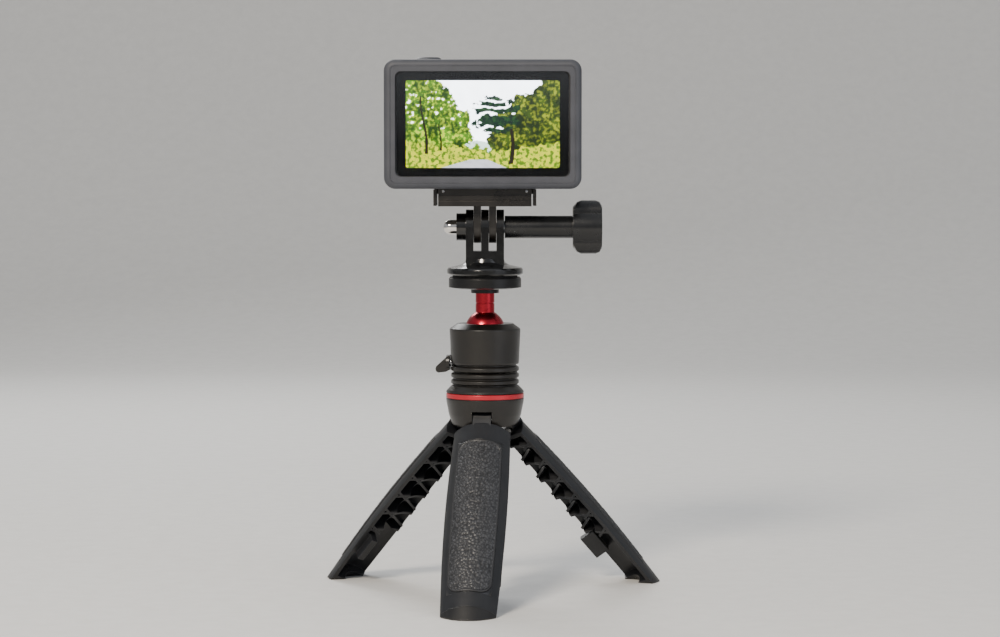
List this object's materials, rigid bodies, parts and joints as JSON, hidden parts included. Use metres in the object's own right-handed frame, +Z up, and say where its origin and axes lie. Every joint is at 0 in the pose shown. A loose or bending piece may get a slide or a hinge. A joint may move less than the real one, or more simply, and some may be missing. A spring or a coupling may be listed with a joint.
{
  "type": "action camera",
  "caption": "Compact action camera in a soft sleeve, clipped to a small folding three-leg grip with a ball head, shown ready to film from a table.",
  "frame": {"origin": "on the ground, under the grip's vertical axis, midway between the three feet", "axes": "+Z up; the camera screen faces -Y and its lens faces +Y; +X is to the right of a person looking at the screen"},
  "size_m": [0.1376, 0.1271, 0.2152],
  "materials": {
    "housing_plastic": "fine spark-eroded texture, black",
    "sleeve_silicone": "matt moulded silicone, mid grey",
    "button_silicone": "matt moulded silicone, mid grey",
    "screen_glass": "polished cover glass with a black printed border",
    "display_stack": "lit display panel",
    "copper_sheet": "rolled copper",
    "circuit_board": "green solder mask with black chips",
    "sensor_package": "ceramic sensor package",
    "barrel_anodised": "black anodised",
    "lens_glass": "coated optical glass",
    "ring_anodised": "dark grey anodised",
    "front_display": "dark display behind a gloss cover",
    "battery_wrap": "printed wrap over a moulded case",
    "speaker_steel": "pressed steel can",
    "card_plastic": "moulded black card",
    "socket_steel": "drawn steel shell",
    "screw_steel": "turned steel, zinc plated",
    "claw_pin_steel": "polished ends",
    "latch_plastic": "moulded, ribbed",
    "seal_rubber": "moulded red silicone seal",
    "clip_plastic": "satin moulded black",
    "magnet_nickel": "nickel plated",
    "adapter_plastic": "polished moulded black",
    "insert_brass": "turned brass",
    "nut_chrome": "polished chrome plate",
    "knob_plastic": "moulded black, grained grip and polished shank",
    "platform_anodised": "black anodised, satin",
    "pad_rubber": "matt black rubber",
    "stem_red": "red anodised, polished",
    "bush_nylon": "natural nylon",
    "spring_steel": "spring steel",
    "head_plastic": "fine textured black",
    "mast_anodised": "dark anodised tube",
    "ring_red": "red anodised",
    "leg_plastic": "glass filled nylon, black",
    "grip_rubber": "leather grained soft rubber",
    "foot_rubber": "matt rubber foot"
  },
  "bodies": {
    "hub": {"leg_hub": "head_plastic", "pivot_pins": "screw_steel", "mast_bush": "bush_nylon", "red_ring": "ring_red"},
    "front_leg": {"leg_front": "leg_plastic", "grip_pad_front": "grip_rubber", "foot_front": "foot_rubber"},
    "left_leg": {"leg_left": "leg_plastic", "grip_pad_left": "grip_rubber", "foot_left": "foot_rubber"},
    "right_leg": {"leg_right": "leg_plastic", "grip_pad_right": "grip_rubber", "foot_right": "foot_rubber"},
    "twist_collar": {"mast_collar": "head_plastic"},
    "head": {"ball_housing": "head_plastic", "mast_tube": "mast_anodised", "cup_spring": "spring_steel"},
    "lock": {"lock_lever": "head_plastic", "lock_screw": "screw_steel"},
    "cup": {"ball_cup": "bush_nylon"},
    "ball": {"ball_stem": "stem_red", "camera_platform": "platform_anodised", "platform_pad": "pad_rubber", "tripod_screw": "screw_steel"},
    "adapter": {"mount_adapter": "adapter_plastic", "threaded_insert": "insert_brass", "dome_nut": "nut_chrome"},
    "thumbscrew": {"thumbscrew_knob": "knob_plastic", "thumbscrew_bolt": "screw_steel"},
    "camera": {"front_housing": "housing_plastic", "rear_housing": "housing_plastic", "protective_sleeve": "sleeve_silicone", "touchscreen_glass": "screen_glass", "display_panel": "display_stack", "heat_spreader": "copper_sheet", "main_board": "circuit_board", "sensor_module": "sensor_package", "lens_barrel": "barrel_anodised", "lens_elements": "lens_glass", "lens_ring": "ring_anodised", "lens_window": "lens_glass", "front_screen": "front_display", "battery": "battery_wrap", "speaker": "speaker_steel", "memory_card": "card_plastic", "usb_socket": "socket_steel", "housing_screws": "screw_steel", "door_pin": "screw_steel", "clip_plate": "clip_plastic", "claw_pins": "claw_pin_steel", "clip_magnets": "magnet_nickel"},
    "shutter": {"shutter_button": "button_silicone"},
    "power": {"power_button": "button_silicone"},
    "door": {"battery_door": "housing_plastic", "door_seal": "seal_rubber"},
    "latch": {"door_latch": "latch_plastic"},
    "left_claw": {"clip_claw_left": "clip_plastic"},
    "right_claw": {"clip_claw_right": "clip_plastic"}
  },
  "joints": [
    {"name": "leg_front_fold", "type": "hinge", "parent": "hub", "child": "front_leg", "pos_m": [-0.00092, -0.01046, 0.07021], "axis": [0.9962, -0.0872, 0], "range_deg": [0, 43]},
    {"name": "leg_left_fold", "type": "hinge", "parent": "hub", "child": "left_leg", "pos_m": [-0.0086, 0.00602, 0.07021], "axis": [-0.5736, -0.8192, 0], "range_deg": [0, 43]},
    {"name": "leg_right_fold", "type": "hinge", "parent": "hub", "child": "right_leg", "pos_m": [0.00952, 0.00444, 0.07021], "axis": [-0.4226, 0.9063, 0], "range_deg": [0, 43]},
    {"name": "mast_extend", "type": "slide", "parent": "hub", "child": "head", "axis": [0, 0, 1], "range_m": [0, 0.045]},
    {"name": "collar_twist", "type": "hinge", "parent": "hub", "child": "twist_collar", "pos_m": [0, 0, 0.08051], "axis": [0, 0, 1], "range_deg": [0, 90]},
    {"name": "lock_lever_turn", "type": "hinge", "parent": "head", "child": "lock", "pos_m": [-0.01584, 0.00223, 0.09221], "axis": [-0.9903, 0.1392, 0], "range_deg": [0, 180]},
    {"name": "ball_pan", "type": "hinge", "parent": "head", "child": "cup", "pos_m": [0, 0, 0.10541], "axis": [0, 0, 1], "continuous": true},
    {"name": "ball_tilt", "type": "hinge", "parent": "cup", "child": "ball", "pos_m": [0, 0, 0.10541], "axis": [1, 0, 0], "range_deg": [-38, 38]},
    {"name": "adapter_spin", "type": "hinge", "parent": "ball", "child": "adapter", "pos_m": [0, 0, 0.12746], "axis": [0, 0, 1], "continuous": true},
    {"name": "thumbscrew_turn", "type": "hinge", "parent": "adapter", "child": "thumbscrew", "pos_m": [0, 0, 0.14656], "axis": [1, 0, 0], "continuous": true},
    {"name": "camera_tilt", "type": "hinge", "parent": "adapter", "child": "camera", "pos_m": [0, 0, 0.14656], "axis": [1, 0, 0], "range_deg": [-85, 85]},
    {"name": "shutter_press", "type": "slide", "parent": "camera", "child": "shutter", "axis": [0, 0, -1], "range_m": [0, 0.0006], "stiffness_N_per_m": 1200},
    {"name": "power_press", "type": "slide", "parent": "camera", "child": "power", "axis": [-1, 0, 0], "range_m": [0, 0.0006], "stiffness_N_per_m": 1200},
    {"name": "battery_door_swing", "type": "hinge", "parent": "camera", "child": "door", "pos_m": [-0.0355, 0.0095, 0.18746], "axis": [0, 0, -1], "range_deg": [0, 100]},
    {"name": "door_latch_slide", "type": "slide", "parent": "door", "child": "latch", "axis": [0, 0, 1], "range_m": [0, 0.002]},
    {"name": "claw_left_squeeze", "type": "hinge", "parent": "camera", "child": "left_claw", "pos_m": [-0.0165, 0, 0.16101], "axis": [0, -1, 0], "range_deg": [0, 4], "stiffness_Nm_per_rad": 0.15},
    {"name": "claw_right_squeeze", "type": "hinge", "parent": "camera", "child": "right_claw", "pos_m": [0.0165, 0, 0.16101], "axis": [0, 1, 0], "range_deg": [0, 4], "stiffness_Nm_per_rad": 0.15}
  ]
}
